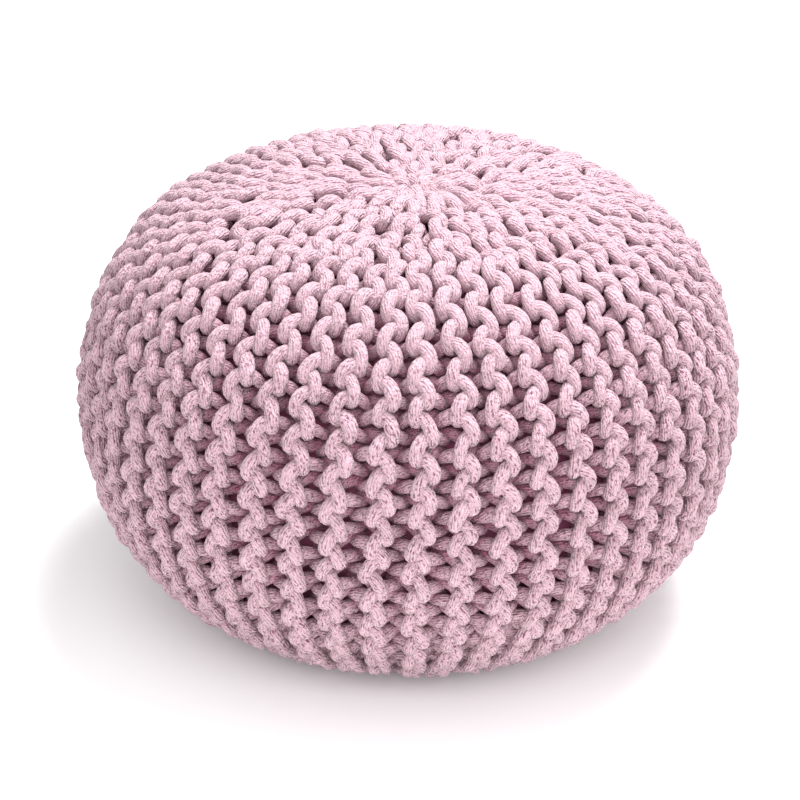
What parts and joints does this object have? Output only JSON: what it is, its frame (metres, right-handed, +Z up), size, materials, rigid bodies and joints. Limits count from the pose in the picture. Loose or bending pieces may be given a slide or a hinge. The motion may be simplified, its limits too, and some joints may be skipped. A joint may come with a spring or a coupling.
{
  "type": "knitted pouf",
  "caption": "Round filled floor pouf in a chunky garter-knit cotton cord cover, gathered at the top centre, resting on a flat foot.",
  "frame": {"origin": "centre of the flat foot, on the floor, at the bottom centre of the bounding box", "axes": "+Z up through the gathered centre of the top; -Y towards the viewer; +X to the right"},
  "size_m": [0.4998, 0.4998, 0.3413],
  "materials": {
    "cotton_cord": "matt dusty pink cotton cord, softly fibrous, knitted in ridges"
  },
  "bodies": {
    "root": {"knitted_pouf": "cotton_cord"}
  },
  "joints": []
}
